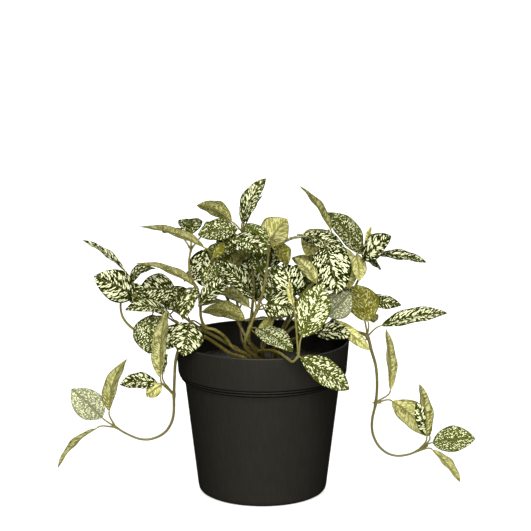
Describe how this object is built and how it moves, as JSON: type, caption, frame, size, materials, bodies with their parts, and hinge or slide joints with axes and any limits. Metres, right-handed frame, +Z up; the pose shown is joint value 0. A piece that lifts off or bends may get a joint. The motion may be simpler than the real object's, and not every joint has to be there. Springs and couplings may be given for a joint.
{
  "type": "potted nerve plant",
  "caption": "Small trailing houseplant with green leaves flecked in cream and olive undersides, in a grooved charcoal nursery pot filled with dark soil.",
  "frame": {"origin": "centre of the pot's flat bottom, on the pot's axis", "axes": "+Z up along the pot's axis, -Y towards the front that the picture shows, +X to its right"},
  "size_m": [0.2866, 0.1735, 0.2212],
  "materials": {
    "pot_plastic": "satin charcoal, moulded",
    "soil": "matt, crumbly dark peat",
    "foliage": "satin, deep green flecked with cream above, olive yellow below"
  },
  "bodies": {
    "root": {"pot": "pot_plastic", "soil": "soil", "leafy_stem_trailing_left": "foliage", "leafy_stem_outer_left": "foliage", "leafy_stem_upper_left": "foliage", "leafy_stem_middle_left": "foliage", "leafy_stem_centre_left": "foliage", "leafy_stem_centre": "foliage", "leafy_stem_front_right": "foliage", "leafy_stem_upper_right": "foliage", "leafy_stem_outer_right": "foliage", "leafy_stem_trailing_right": "foliage", "leafy_stem_back_left": "foliage", "leafy_stem_back_right": "foliage", "leafy_stem_back_upright": "foliage", "leafy_stem_back_outer_left": "foliage", "leafy_stem_back_outer_right": "foliage", "leafy_stem_back_trailing": "foliage"}
  },
  "joints": []
}
